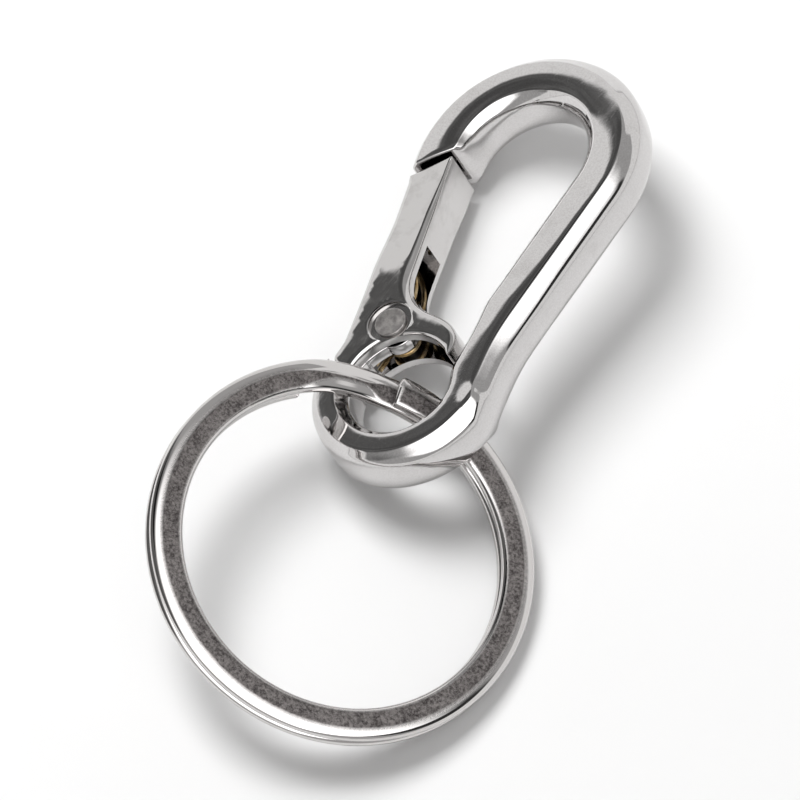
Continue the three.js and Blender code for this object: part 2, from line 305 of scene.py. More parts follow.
def eye_end_angle(radius):
    """The angle round the eye where a circle of that radius meets the hollow, by the law of cosines."""
    reach = np.hypot(*PIN)
    cosine = (radius**2 + reach**2 - SHOULDER**2) / (2 * radius * reach)
    return np.arctan2(PIN[1], PIN[0]) + np.arccos(cosine) - 2 * np.pi


# %% Sizes of the section along the bar
beak_in, beak_out, _ = beak_rulings(ease_back[::-1])
line_in = np.concatenate([beak_in, inner_line])
line_out = np.concatenate([beak_out, outer_line])
eye_rows, eye_length = 110, 16.6
tip_rows = len(ease_back)
ruled_rows = len(line_in)
row_count = ruled_rows + eye_rows + tip_rows

run = np.zeros(row_count)  # distance along the bar's middle
run[:ruled_rows] = lengths((line_in + line_out) / 2)
eye_turn = np.concatenate([np.linspace(0, 1, eye_rows + 1)[1:], np.ones(tip_rows)])
eye_start = run[ruled_rows - 1]
run[ruled_rows:] = eye_start + eye_length * eye_turn

inset = np.zeros(row_count)
scale = np.ones(row_count)
inset[:tip_rows], inset[-tip_rows:] = ease_inset[::-1], ease_inset
scale[:tip_rows], scale[-tip_rows:] = ease_scale[::-1], ease_scale
stations = [0, 3, 8, 14, 20, 33, 38, 42, 50, 58]  # mm along the bar
CHAMFER_INSET = 0.58  # how fast a chamfer shortens as the section shrinks


def along_bar(*values):
    """A size at the stations along the bar, and smoothly between them."""
    return np.interp(run, stations, values)


print("length of the bar's middle line, mm:", round(run[-1], 1))

# %% [markdown]
# Where the spine meets the eye the casting has a small boss, left by the mould's runner: the bevel
# narrows there and the flat rises in a low dome.
#
# Across the bar the points are laid on the ruling between the two outlines. Round the eye the
# rulings are radii, and each point's angle runs on to its own end, so the last row fits the hollow.

# %% The bar's surface
BOSS_RUN, BOSS_LENGTH = eye_start - 1.0, 0.85  # mm along the bar
BOSS_ACROSS, BOSS_WIDTH = 0.62, 0.28  # shares of the bar's half width
BOSS_HEIGHT, BOSS_NARROWING = 0.10, 0.38


def bar_surface():
    """Middle of the ruling plus the section's way across along it; round the eye the same in polar
    form, with the end angle a function of the radius. The section's height is kept, less a crown
    that grows as the square of the distance from its crest, and plus the boss, a bell curve both
    ways. The walls bulge by a half sine down their height."""
    width = np.full(row_count, (EYE_RADIUS - HOLE_RADIUS) / 2)
    width[:ruled_rows] = np.linalg.norm(line_out - line_in, axis=1) / 2
    inner = along_bar(0.5, 0.55, 0.6, 0.6, 0.7, 0.7, 0.8, 0.8, 0.8, 0.8) - CHAMFER_INSET * inset
    outer = along_bar(0.5, 0.8, 1.0, 1.0, 0.85, 0.8, 0.8, 0.75, 0.75, 0.75) - CHAMFER_INSET * inset
    boss_at = np.exp(-(((run - BOSS_RUN) / BOSS_LENGTH) ** 2))
    outer = outer - BOSS_NARROWING * boss_at
    edge = along_bar(0.2, 0.2, 0.25, 0.3, 0.4, 0.5, 0.4, 0.3, 0.2, 0.16)
    wall = along_bar(0.5, 0.8, 1.2, 1.4, 1.4, 1.4, 1.1, 0.9, 0.9, 0.9)
    crown = np.interp(run, [0, 3, 18, 24, 30, 36, 42], [0.12, 0.24, 0.26, 0.13, 0.15, 0.24, 0.05])
    crest = np.interp(run, [0, 18, 25.5, 30, 37, 44], [-0.1, -0.16, 0.75, 0.6, 0.21, 0])
    crown, crest = eased(crown[:, None], 6)[:, 0], eased(crest[:, None], 6)[:, 0]
    bulge_in = along_bar(0, 0.1, 0.3, 0.3, 0.2, 0.2, 0.02, 0, 0, 0)
    bulge_out = along_bar(0, 0, 0.05, 0.1, 0.2, 0.25, 0.3, 0.4, 0.4, 0)
    shape = section(width - inset, HALF_THICK - inset, inner, outer, edge, wall) * scale[:, None, None]
    across, height = shape[..., 0], shape[..., 1]
    share = across / width[:, None]
    depth = (1 - height / HALF_THICK) / 2
    swell = np.sin(np.pi * np.clip(1.15 * depth, 0, 1)) ** 0.8
    height = height * (1 - crown[:, None] / HALF_THICK * (share - crest[:, None]) ** 2)
    dome = np.exp(-(((share - BOSS_ACROSS) / BOSS_WIDTH) ** 2)) * boss_at[:, None]
    height = height + BOSS_HEIGHT * dome * (height > 0.75 * HALF_THICK)
    across = across + swell * np.where(share > 0, bulge_out[:, None], -bulge_in[:, None]) * np.abs(share)
    middle = (line_in + line_out) / 2
    way = (line_out - line_in) / (2 * width[:ruled_rows, None])
    ruled = middle[:, None] + across[:ruled_rows, :, None] * way[:, None]
    right = (EYE_RIGHT_RADIUS - EYE_RADIUS) / 2
    fuller = right * np.clip(1 - eye_turn / 0.5, 0, 1)[:, None] ** 2
    radius = (HOLE_RADIUS + EYE_RADIUS) / 2 + fuller + across[ruled_rows:] * (1 + fuller / 1.5)
    back = np.concatenate([np.zeros(eye_rows), ease_back])[:, None]
    angle = eye_turn[:, None] * eye_end_angle(np.clip(radius, 3.5, 7.6)) + back / radius
    polar = radius[..., None] * np.stack([np.cos(angle), np.sin(angle)], -1)
    return np.concatenate([np.concatenate([ruled, polar]), height[..., None]], axis=-1)


bar = skin("bar", bar_surface())
print("bar: faces", len(bar.data.polygons), "volume mm3", round(enclosed_volume(bar.data) * 1e9, 1))

# %% [markdown]
# ## The tongue and the lug
# Under the gate's cheeks the casting carries a thinner tongue, and on it the lug that the rivet goes
# through. They are plain cast shapes, so the tongue is a rounded rectangle carried round an arc and
# the lug is a washer turned about the pin.

# %% Tongue and lug


def turned(centre, profile, count=64):
    """Surface of revolution about an upright axis: each point of the profile (radius, z) goes round."""
    angle = np.linspace(0, 2 * np.pi, count, endpoint=False)[:, None]
    radius, height = np.asarray(profile, float).T
    x = centre[0] + radius * np.cos(angle)
    y = centre[1] + radius * np.sin(angle)
    return np.stack([x, y, height + 0 * angle], -1)


def rounded_box(half_width, bottom, top, corner, steps=4):
    """A rectangle with quarter-circle corners, as (across, height) points."""
    angle = np.radians(np.linspace(0, 90, steps))
    sides = [(-1, 1, 90), (-1, -1, 180), (1, -1, 270), (1, 1, 0)]
    points = []
    for side, level, start in sides:
        middle = np.array([side * (half_width - corner), top - corner if level > 0 else bottom + corner])
        turn = angle + np.radians(start)
        points.append(middle + corner * np.stack([np.cos(turn), np.sin(turn)], -1))
    return np.concatenate(points)


def sector(inside, outside, bottom, top, start, end, rows=40):
    """A rounded rectangle carried round the eye's centre between two angles, its ends closed flat."""
    middle, half = (inside + outside) / 2, (outside - inside) / 2
    shape = rounded_box(half, bottom, top, 0.15)
    level = np.array([0, (bottom + top) / 2])
    angle = np.radians(np.linspace(start, end, rows))
    angle = np.concatenate([angle[:1], angle, angle[-1:]])
    size = np.ones(rows + 2)
    size[[0, -1]] = 0
    grid = level + size[:, None, None] * (shape - level)
    radius = middle + grid[..., 0]
    return np.stack(
        [radius * np.cos(angle)[:, None], radius * np.sin(angle)[:, None], grid[..., 1]], -1
    )


TONGUE_IN, TONGUE_OUT, TONGUE_HALF = 4.4, 6.0, 1.05
STEP_ANGLE = 164.5  # above it only the front half of the tongue is left, beside the spring
LUG_BACK = -0.05
lug_shape = rounded_box(0.36, LUG_BACK, TONGUE_HALF, 0.12) + [1.24, 0]
casting = [
    bar,
    skin("tongue_low", sector(TONGUE_IN, TONGUE_OUT, -TONGUE_HALF, TONGUE_HALF, STEP_ANGLE, 205)),
    skin("tongue_high", sector(TONGUE_IN, TONGUE_OUT, LUG_BACK, TONGUE_HALF, 128, STEP_ANGLE + 4)),
    skin("lug", turned(PIN, lug_shape), ring=True),
]
hook = joined("hook_casting", casting)
print("hook casting:", len(hook.data.polygons), "faces")

# %% [markdown]
# ## The gate
# The gate is a small lever cast as a channel: two cheeks, a wall outside them, a solid top and a
# foot that closes the eye. Its outline is an L with a disc at the bend, so rulings from one edge to
# the other would cross. Instead rings of points follow the whole outline: they make the bevels and
# the wall, and a net of triangles fills each face. The hollow between the cheeks and the dished
# seats of the rivet are then cut out, as a core and a counterbore do on the real part.

# %% The gate's two edges
GATE_HALF = 2.25
GATE_LEAN = 0.327
BEAK_GAP = 0.35
FOOT_RADIUS = 4.3
gate_corner = np.array([-7.6, 5.6])
top_slant = slant - np.sqrt(2) * BEAK_GAP
top_out = (top_slant + gate_corner[0] + gate_corner[1] * GATE_LEAN) / (1 + GATE_LEAN)
top_outer = np.array([gate_corner[0] - (top_out - gate_corner[1]) * GATE_LEAN, top_out])
top_inner = np.array([-8.25, top_slant - 8.25])
cheek_end = arc(PIN, 5.15, 241, 241, 1)[0]
waist, foot_top = np.array([-5.2, 9.2]), np.array([-1.2, 6.2])
foot_tip = arc((0, 0), FOOT_RADIUS, 53, 53, 1)[0]

outer_edge = np.concatenate(
    [
        bezier([top_outer, gate_corner], 60),
        bezier([gate_corner, (-6.3, 1.3)], 30)[1:],
        bezier([(-6.3, 1.3), cheek_end], 10)[1:],
        bezier([cheek_end, arc((0, 0), FOOT_RADIUS, 191, 191, 1)[0]], 12)[1:],
        arc((0, 0), FOOT_RADIUS, 191, 53, 60)[1:],
    ]
)
inner_edge = np.concatenate(
    [
        bezier([top_inner, waist], 50),
        bezier([waist, (-4.6, 7.3), (-3.4, 6.2), foot_top], 40)[1:],
        bezier([foot_top, (1.4, 6.3), (2.6, 5.4), foot_tip], 40)[1:],
    ]
)
outer_edge, inner_edge = eased(even(outer_edge, 180), 3), eased(even(inner_edge, 160), 3)

# %% The gate's whole outline
GATE_COLUMNS = 420
gate_outline = np.concatenate([outer_edge, inner_edge[::-1][1:-1], outer_edge[:1]])
gate_run = lengths(gate_outline)[-1]
outer_share = lengths(outer_edge)[-1] / gate_run
gate_outline = even(gate_outline, GATE_COLUMNS + 1)[:-1]
wrapped = np.concatenate([gate_outline[-12:], gate_outline, gate_outline[:12]])
gate_outline = eased(wrapped, 3)[12:-12]
steps_in = gate_outline - np.roll(gate_outline, 1, axis=0)
steps_out = np.roll(gate_outline, -1, axis=0) - gate_outline
turning = np.cross(steps_in, steps_out)
turn_side = np.sign(turning.sum())  # 1 if the outline runs anticlockwise
print("gate outline, mm:", round(gate_run, 2), "outer part", round(outer_share, 3))

# %% The gate's skin
LEAST_BEND, CORNER_SHARE, CORNER_GROWTH = 0.1, 0.6, 0.42
BEVEL_ROWS, WALL_ROWS = 8, 7
NET_STEP, NET_MARGIN = 0.3, 0.2  # mm
NET_WELD = 2e-6  # metres


def gate_thinning(spot):
    """How much the lever is thinner than its foot: it grows with the distance outwards from a line
    along the inner edge, and fades in above the waist."""
    x, y = spot[..., 0], spot[..., 1]
    outwards = -5.6 - (y - 9.2) * 0.30 - x
    fade = np.clip((y - 7.5) / 5.0, 0, 1)
    return 0.17 * np.clip(outwards, 0, 4) * fade * fade * (3 - 2 * fade)


def gate_bevels():
    """Bevel width at each point, from its share of the way round: first down the outer edge, then
    back up the inner one. Near a corner the width is held below its radius, and is let grow with
    the distance from it, so that the bevel's rings never cross."""
    share = np.arange(GATE_COLUMNS) / GATE_COLUMNS
    outer_stops = [0, 0.01, 0.28, 0.42, 0.6, 0.7, 0.97, 1]
    outer_sizes = [0.12, 0.5, 0.55, 0.45, 0.25, 0.38, 0.40, 0.12]
    inner_stops = [0, 0.05, 0.2, 0.4, 0.64, 0.76, 0.99, 1]
    inner_sizes = [0.12, 0.4, 0.6, 0.65, 0.55, 0.22, 0.22, 0.12]
    first = np.interp(share / outer_share, outer_stops, outer_sizes)
    second = np.interp((share - outer_share) / (1 - outer_share), inner_stops, inner_sizes)
    wanted = eased(np.where(share < outer_share, first, second)[:, None], 3)[:, 0]
    step = np.linalg.norm(steps_out, axis=1)
    bend = np.maximum(turn_side * turning / step**3, LEAST_BEND)
    number = np.arange(GATE_COLUMNS)
    apart = np.abs(number[:, None] - number)
    apart = np.minimum(apart, GATE_COLUMNS - apart) * step.mean()
    room = CORNER_SHARE / bend + CORNER_GROWTH * apart
    return np.minimum(wanted, room.min(1))


def inside_outline(points, outline):
    """Even-odd rule: a point is inside when a ray to the right crosses the outline an odd number
    of times."""
    a, b = outline, np.roll(outline, -1, 0)
    x, y = points[:, 0:1], points[:, 1:2]
    spans = (a[:, 1] > y) != (b[:, 1] > y)
    crossing = a[:, 0] + (y - a[:, 1]) * (b[:, 0] - a[:, 0]) / np.where(spans, b[:, 1] - a[:, 1], 1)
    return (spans & (x < crossing)).sum(1) % 2 == 1


def gate_skin():
    """Rings of points round the outline: front bevel as a quarter circle inwards along the edge's
    normal, straight wall, back bevel. The two faces are filled with a triangle net over a fine
    grid, and every point's height is half the gate's thickness less the thinning there."""
    way = steps_in + steps_out
    normal = turn_side * np.stack([-way[:, 1], way[:, 0]], -1)
    normal /= np.linalg.norm(normal, axis=1, keepdims=True)
    turn = np.radians(np.linspace(90, 0, BEVEL_ROWS))[:, None]
    width = gate_bevels()
    spots = gate_outline + (width * (1 - np.cos(turn)))[..., None] * normal
    half = GATE_HALF - gate_thinning(spots) - width * (1 - np.sin(turn))
    front = np.concatenate([spots, half[..., None]], -1)
    level = np.linspace(1, -1, WALL_ROWS + 2)[1:-1, None] * half[-1]
    wall = np.broadcast_to(gate_outline, (WALL_ROWS, GATE_COLUMNS, 2))
    sides = np.concatenate([wall, level[..., None]], -1)
    grid = np.concatenate([front, sides, front[::-1] * [1, 1, -1]])
    rim = spots[0]
    across, upward = (np.arange(low, high, NET_STEP) for low, high in zip(rim.min(0), rim.max(0)))
    net = np.stack(np.meshgrid(across, upward), -1).reshape(-1, 2)
    net = net[inside_outline(net, rim)]
    net = net[np.linalg.norm(net[:, None] - rim, axis=2).min(1) > NET_MARGIN]
    corners = [Vector(point) for point in np.concatenate([rim, net]).tolist()]
    filled = delaunay_2d_cdt(corners, [], [list(range(GATE_COLUMNS))], 1, 1e-6)
    flat = np.array([tuple(point) for point in filled[0]])
    height = GATE_HALF - gate_thinning(flat)
    parts = [skin("gate_walls", grid, closed=False)]
    for side in (1, -1):
        mesh = bpy.data.meshes.new("gate_face")
        points = place(np.concatenate([flat, side * height[:, None]], 1))
        mesh.from_pydata(points.tolist(), [], [tuple(face) for face in filled[2]])
        parts.append(bpy.data.objects.new("gate_face", mesh))
    piece = joined("gate_lever_casting", parts)
    work = bmesh.new()
    work.from_mesh(piece.data)
    bmesh.ops.remove_doubles(work, verts=work.verts, dist=NET_WELD)
    bmesh.ops.recalc_face_normals(work, faces=work.faces)
    print("gate open edges:", sum(not edge.is_manifold for edge in work.edges))
    work.to_mesh(piece.data)
    work.free()
    finish_skin(piece.data)
    return piece


lever = gate_skin()
print("gate before cutting:", round(enclosed_volume(lever.data) * 1e9, 1), "mm3")

# %% [markdown]
# ## Cutting the channel and the seats
# The cutters are simple closed shapes. A seat's cutter is turned with a flared rim, so that the cut
# leaves an eased edge round the rivet. After the cuts, edges that are sharper than a set angle stay
# crisp, and everything else keeps its smooth shading.

# %% Cut the gate
CHANNEL_HALF = 1.25
SEAT_RADIUS, SEAT_DEPTH = 1.72, 0.35
SHARP = np.radians(32)


def cut(piece, tools):
    """Takes each tool out of the piece and puts the result in its mesh."""
    for tool in tools:
        step = piece.modifiers.new("cut", "BOOLEAN")
        step.operation = "DIFFERENCE"
        step.solver = "EXACT"
        step.object = tool
    graph = bpy.context.evaluated_depsgraph_get()
    mesh = bpy.data.meshes.new_from_object(piece.evaluated_get(graph))
    piece.modifiers.clear()
    piece.data = mesh
    for tool in tools:
        bpy.data.objects.remove(tool)
    mesh.shade_smooth()
    mesh.set_sharp_from_angle(angle=SHARP)


def extruded(name, outline, bottom, top):
    """A closed prism over any outline, its two ends as single faces."""
    outline = np.asarray(outline, float)
    count = len(outline)
    points = [np.concatenate([outline, np.full((count, 1), level)], 1) for level in (bottom, top)]
    ring = np.arange(count)
    walls = np.stack([ring, (ring + 1) % count, (ring + 1) % count + count, ring + count], -1)
    mesh = bpy.data.meshes.new(name)
    faces = walls.tolist() + [ring[::-1].tolist(), (ring + count).tolist()]
    mesh.from_pydata(place(np.concatenate(points)).tolist(), [], faces)
    finish_skin(mesh)
    piece = bpy.data.objects.new(name, mesh)
    bpy.context.scene.collection.objects.link(piece)
    return piece


channel = np.concatenate(
    [
        [(-10, -3), (-10, 2.9), (-5.87, 2.9), (-6.82, 5.6), (-8.72, 11.4), (-4.5, 11.4), (-2.7, 7.7)],
        bezier([(-4.3, 6.85), (-3.4, 5.75), (-2.4, 5.4), (-1.2, 5.4)], 14),
        bezier([(-1.2, 5.4), (0.3, 5.45), (0.9, 5.3), (1.8, 4.3)], 10)[1:],
        [(1.8, 2), (-2, -3)],
    ]
)
rim = SEAT_RADIUS + 0.14
seat = [(0, 0), (SEAT_RADIUS, 0), (SEAT_RADIUS, 0.22), (SEAT_RADIUS + 0.04, 0.31), (rim, 0.36)]
seat = np.array(seat + [(rim + 0.3, 1.2), (0, 1.2)])
floor_front = GATE_HALF - SEAT_DEPTH
front_seat = turned(PIN, seat + [0, floor_front])
back_seat = turned(PIN, seat * [1, -1] - [0, floor_front])
tools = [
    extruded("channel", channel, -CHANNEL_HALF, CHANNEL_HALF),
    skin("front_seat", front_seat.transpose(1, 0, 2)),
    skin("back_seat", back_seat.transpose(1, 0, 2)),
]
cut(lever, tools)
gate_volume = round(enclosed_volume(lever.data) * 1e9, 1)
print("gate after cutting:", len(lever.data.polygons), "faces", gate_volume, "mm3")

# %% [markdown]
# ## Rivet and spring
# The rivet is turned: a shank between two flat heads with eased rims, which sit in the dished seats.
# The spring is one wire: a short leg on the tongue's step, a turn round the rivet, and a long leg up
# the channel. Its round section is carried along the path, square to it.

# %% Rivet
HEAD_TOP, HEAD_THICK, HEAD_RADIUS, HEAD_EASE, SHANK = 2.2, 0.25, 1.25, 0.1, 0.8
rim_turn = np.radians(np.linspace(0, 90, 6))
rim_radius = HEAD_RADIUS - HEAD_EASE * (1 - np.cos(rim_turn))
rim_height = HEAD_TOP - HEAD_EASE * (1 - np.sin(rim_turn))
rim_points = np.stack([rim_radius, rim_height], -1)[::-1]
dish = np.array([(0, -0.05), (0.4, -0.045), (0.8, -0.03), (1.0, 0)]) + [0, HEAD_TOP]
under = HEAD_TOP - HEAD_THICK
head = np.concatenate([dish, rim_points, [(HEAD_RADIUS, under), (SHANK, under)]])
rivet_profile = np.concatenate([head, head[::-1] * [1, -1]])
rivet = skin("rivet", turned(PIN, rivet_profile, 96).transpose(1, 0, 2))
print("rivet:", len(rivet.data.polygons), "faces")

# %% Spring
WIRE, COIL, PITCH, BACK = 0.2, 1.18, 0.43, -0.85
SHORT_LEG_END, LONG_LEG = 1.75, 6.3
leg_x = PIN[0] - COIL


def spring_path():
    """Straight up, once round the pin clockwise while it climbs one pitch, then up the channel with
    a sideways run that grows as the fourth power of the way."""
    s = np.linspace(0, 1, 16)[:, None]
    climb = SHORT_LEG_END + (PIN[1] - SHORT_LEG_END) * s
    short = np.concatenate([leg_x + 0 * s, climb, BACK + 0 * s], 1)
    s = np.linspace(0, 1, 72)[1:, None]
    turn = np.pi - 2 * np.pi * s
    x, y = PIN[0] + COIL * np.cos(turn), PIN[1] + COIL * np.sin(turn)
    coil = np.concatenate([x, y, BACK + PITCH * s], 1)
    s = np.linspace(0, 1, 50)[1:, None]
    sway = leg_x - 0.3 * s - 2.9 * s**4
    long = np.concatenate([sway, PIN[1] + LONG_LEG * s, BACK + PITCH + 0 * s], 1)
    return np.concatenate([short, coil, long])


def tube(path, radius, sides=20):
    """A round section carried along a path, square to it: one side lies in the drawing plane and the
    other completes the right angle. The end rows shrink in a quarter circle, as a snipped wire does."""
    way = np.gradient(path, axis=0)
    way /= np.linalg.norm(way, axis=1, keepdims=True)
    flat = np.cross(way, [0, 0, 1])
    flat /= np.linalg.norm(flat, axis=1, keepdims=True)
    rise = np.cross(flat, way)
    around = np.linspace(0, 2 * np.pi, sides, endpoint=False)[:, None]
    size = np.ones(len(path))
    round_end = np.sin(np.radians([0, 35, 60, 80]))
    size[:4], size[-4:] = round_end, round_end[::-1]
    ring_points = np.cos(around) * flat[:, None] + np.sin(around) * rise[:, None]
    return path[:, None] + radius * size[:, None, None] * ring_points


path = spring_path()
ends = [path[0] + (path[1] - path[0]) * k for k in (0, 0.02, 0.08, 0.2)]
tails = [path[-1] + (path[-2] - path[-1]) * k for k in (0.2, 0.08, 0.02, 0)]
spring = skin("spring_wire", tube(np.concatenate([ends, path[2:-2], tails]), WIRE))
print("spring wire length, mm:", round(lengths(path)[-1], 2))

# %% [markdown]
# ## The split ring
# A split ring is one flat wire wound twice, the two turns lying one on the other. Where the first
# turn ends, the second steps over it, and this crossover with the two cut ends is what tells a split
# ring from a plain one. So the ring is a rounded flat section carried round by one formula for its
# height, and never two separate hoops.

# %% The ring's own axes, in the drawing plane
RING_RADIUS, WIRE_WIDTH, LAYER, LAYER_GAP = 15.0, 2.55, 0.95, 0.08
OUTER_ROLL, INNER_ROLL = 0.92, 0.40
RING_DISTANCE = 13.9
RING_TURN = np.radians(-43.9)
RING_START = np.radians(186)
CROSSOVER = np.radians(28)
END_GAP = np.radians(2)
END_EASE, RING_ROWS = 0.24, 760
to_ring = -HOOK_AXES @ np.array(joints["ring_swivel"]["axis"])
sideways = np.cross([0, 0, 1], to_ring)
ring_x = to_ring
ring_y = np.cos(RING_TURN) * sideways + np.sin(RING_TURN) * np.array([0, 0, 1])
ring_z = np.cross(ring_x, ring_y)
print("ring's face in the row's frame:", (ring_z @ HOOK_AXES).round(3))

# %% The ring's surface


def wire_section():
    """A flat wire: faces nearly flat, edges rolled round. Each side is a flat run with a slight
    crown, then a quarter ellipse down to the edge, mirrored below. Winding the wire into a ring
    stretches its outer side, so the outer edge is rolled off further than the inner one. The
    points are counted from the middle of the top face."""
    half_width, half_height = WIRE_WIDTH / 2, LAYER / 2
    crown, corner = 0.03, 0.42

    def side(corner_width):
        turn = np.radians(np.linspace(0, 90, 9))
        flat = np.linspace(0, half_width - corner_width, 9)[:-1]
        top = np.stack([flat, half_height - crown * (flat / half_width) ** 2], -1)
        drop = crown + corner * (1 - np.cos(turn))
        bend = np.stack([half_width - corner_width * (1 - np.sin(turn)), half_height - drop], -1)
        upper = np.concatenate([top, bend, [(half_width, 0.02)]])
        return np.concatenate([upper, upper[:0:-1] * [1, -1]])

    return np.concatenate([side(OUTER_ROLL), side(INNER_ROLL) * [-1, -1]])


def ring_surface():
    """Twice round: the height is half a layer up, and steps down to half a layer below by a smooth
    S-curve where the crossover is. The cut ends close over three short rows with eased rims."""
    wound = 4 * np.pi - CROSSOVER - 2 * END_GAP
    middle = RING_RADIUS - WIRE_WIDTH / 2
    rounding = np.radians([90, 60, 30, 0])
    end_step = END_EASE * (1 - np.sin(rounding)) / middle
    size_step = 1 - END_EASE * (1 - np.cos(rounding)) / (LAYER / 2)
    inner_turns = np.linspace(0, wound, RING_ROWS)[2:-2]
    turn = np.concatenate([[0], end_step, inner_turns, wound - end_step[::-1], [wound]])
    size = np.concatenate([[0], size_step, np.ones(RING_ROWS - 4), size_step[::-1], [0]])
    size = size[:, None, None]
    shape = wire_section() * size
    angle = END_GAP + turn
    step = np.clip((angle - (2 * np.pi - CROSSOVER)) / CROSSOVER, 0, 1)
    height = (LAYER + LAYER_GAP) / 2 * (1 - 2 * step * step * (3 - 2 * step))
    spin = (RING_START - angle)[:, None]
    radius = middle + shape[..., 0]
    x, y = RING_DISTANCE + radius * np.cos(spin), radius * np.sin(spin)
    z = height[:, None] + shape[..., 1]
    return x[..., None] * ring_x + y[..., None] * ring_y + z[..., None] * ring_z


ring = skin("split_ring_wire", ring_surface())
print("ring:", len(ring.data.polygons), "faces", round(enclosed_volume(ring.data) * 1e9, 1), "mm3")

# %% [markdown]
# ## Shader arithmetic
# Materials read best as plain expressions. A small class wraps a socket, and adding or multiplying
# two of them adds the Math node that does it. Every other node comes from one method.

# %% A socket that can be added and multiplied


class Socket:
    """Wraps an output socket of a node tree."""

    def __init__(self, tree, source):
        self.tree = tree
        self.source = source

    def node(self, kind, settings=None, **inputs):
        """Adds a node of a type, sets it up, then fills its sockets. Returns its first output."""
        made = self.tree.nodes.new("ShaderNode" + kind)
        for key, value in (settings or {}).items():
            if key == "stops":
                for stop, (position, colour) in zip(made.color_ramp.elements, value):
                    stop.position, stop.color = position, colour
            else:
                setattr(made, key, value)
        for key, value in inputs.items():
            name = key.replace("_", " ")
            socket = made.inputs[int(name[1:])] if name[1:].isdigit() else made.inputs[name]
            if isinstance(value, Socket):
                self.tree.links.new(value.source, socket)
            else:
                socket.default_value = value
        return Socket(self.tree, made.outputs[0])

    def math(self, operation, first, second=0.0, **settings):
        return self.node("Math", {"operation": operation, **settings}, i0=first, i1=second)

    def __add__(self, other):
        return self.math("ADD", self, other)

    def __sub__(self, other):
        return self.math("SUBTRACT", self, other)

    def __rsub__(self, other):
        return self.math("SUBTRACT", other, self)

    def __mul__(self, other):
        return self.math("MULTIPLY", self, other)

    def step(self, low, high):
        """0 below low, 1 above high, and an S-curve between."""
        made = self.node("MapRange", {"interpolation_type": "SMOOTHSTEP"}, Value=self)
        made.source.node.inputs["From Min"].default_value = low
        made.source.node.inputs["From Max"].default_value = high
        return made

    def noise(self, scale, detail=2.0, rough=0.5):
        """Cloudy noise whose blobs are 1 / scale metres across, read from this vector."""
        return self.node("TexNoise", Vector=self, Scale=scale, Detail=detail, Roughness=rough)

    def part(self, axis):
        """One component of a vector."""
        split = self.node("SeparateXYZ", Vector=self).source.node
        return Socket(self.tree, split.outputs["XYZ".index(axis)])

    def scaled(self, x, y, z):
        """A vector stretched by three numbers."""
        return self.node("VectorMath", {"operation": "MULTIPLY"}, i0=self, i1=(x, y, z))

    __radd__ = __add__
    __rmul__ = __mul__


def coordinate(tree, output):
    """The Object or UV coordinate of the piece."""
    made = tree.nodes.new("ShaderNodeTexCoord")
    return Socket(tree, made.outputs[output])


def metal(name, finish):
    """A metal whose colour, roughness and bump height come from finish(spot, uv)."""
    made = bpy.data.materials.new(name)
    made.use_nodes = True
    tree = made.node_tree
    shader = tree.nodes["Principled BSDF"]
    shader.inputs["Metallic"].default_value = 1.0
    colour, rough, height, depth = finish(coordinate(tree, "Object"), coordinate(tree, "UV"))
    tree.links.new(colour.source, shader.inputs["Base Color"])
    tree.links.new(rough.source, shader.inputs["Roughness"])
    bump = height.node("Bump", Height=height, Strength=1.0, Distance=depth)
    tree.links.new(bump.source, shader.inputs["Normal"])
    return made


def mixed(share, first, second):
    """A colour between two others."""
    made = share.node("Mix", {"data_type": "RGBA"}, Factor=share)
    for socket, value in zip([made.source.node.inputs[6], made.source.node.inputs[7]], (first, second)):
        if isinstance(value, Socket):
            made.tree.links.new(value.source, socket)
        else:
            socket.default_value = (*value, 1)
    return Socket(made.tree, made.source.node.outputs[2])


# %% [markdown]
# ## Chrome plating
# The hook and the gate are plated castings. Plating is a mirror, but not a perfect one: polishing
# leaves waves a few millimetres long and a few thousandths deep, handling leaves faint hairlines and
# dull smears. The waves matter most, since they bend every reflection.

# %% Plated casting


def plating(spot, uv):
    """Long shallow polishing waves plus hairlines; roughness rises in the smears and the hairlines."""
    waves = spot.noise(260.0, 2.0, 0.45)
    pits = spot.noise(5200.0, 2.0, 0.6)
    hair = spot.scaled(1.0, 0.07, 0.4).noise(9000.0, 1.0, 0.5).step(0.63, 0.72)
    smear = spot.noise(420.0, 3.0, 0.6).step(0.5, 0.75)
    rough = smear * 0.035 + hair * 0.05 + 0.035
    grain = spot.noise(7500.0, 2.0, 0.7).step(0.3, 0.7)
    colour = mixed(grain * 0.6 + smear * 0.4, (0.64, 0.628, 0.625), (0.53, 0.516, 0.51))
    height = waves + pits * 0.02 - hair * 0.004
    return colour, rough, height, 0.000028


def cast_gate_plating(spot, uv):
    """Polishing waves and smears as on the hook, and cast streaks, stretched one way, all over the
    lever.
    """
    waves = spot.noise(330.0, 2.0, 0.5)
    streak = spot.scaled(1.0, 0.22, 0.5).noise(3000.0, 3.0, 0.6)
    smear = spot.noise(520.0, 3.0, 0.6).step(0.48, 0.72)
    rough = smear * 0.05 + streak.step(0.5, 0.8) * 0.06 + 0.04
    colour = mixed(smear, (0.60, 0.588, 0.582), (0.53, 0.518, 0.51))
    height = waves + streak * 0.05
    return colour, rough, height, 0.000028


hook_plating = metal("chrome_plating", plating)
gate_plating = metal("gate_plating", cast_gate_plating)
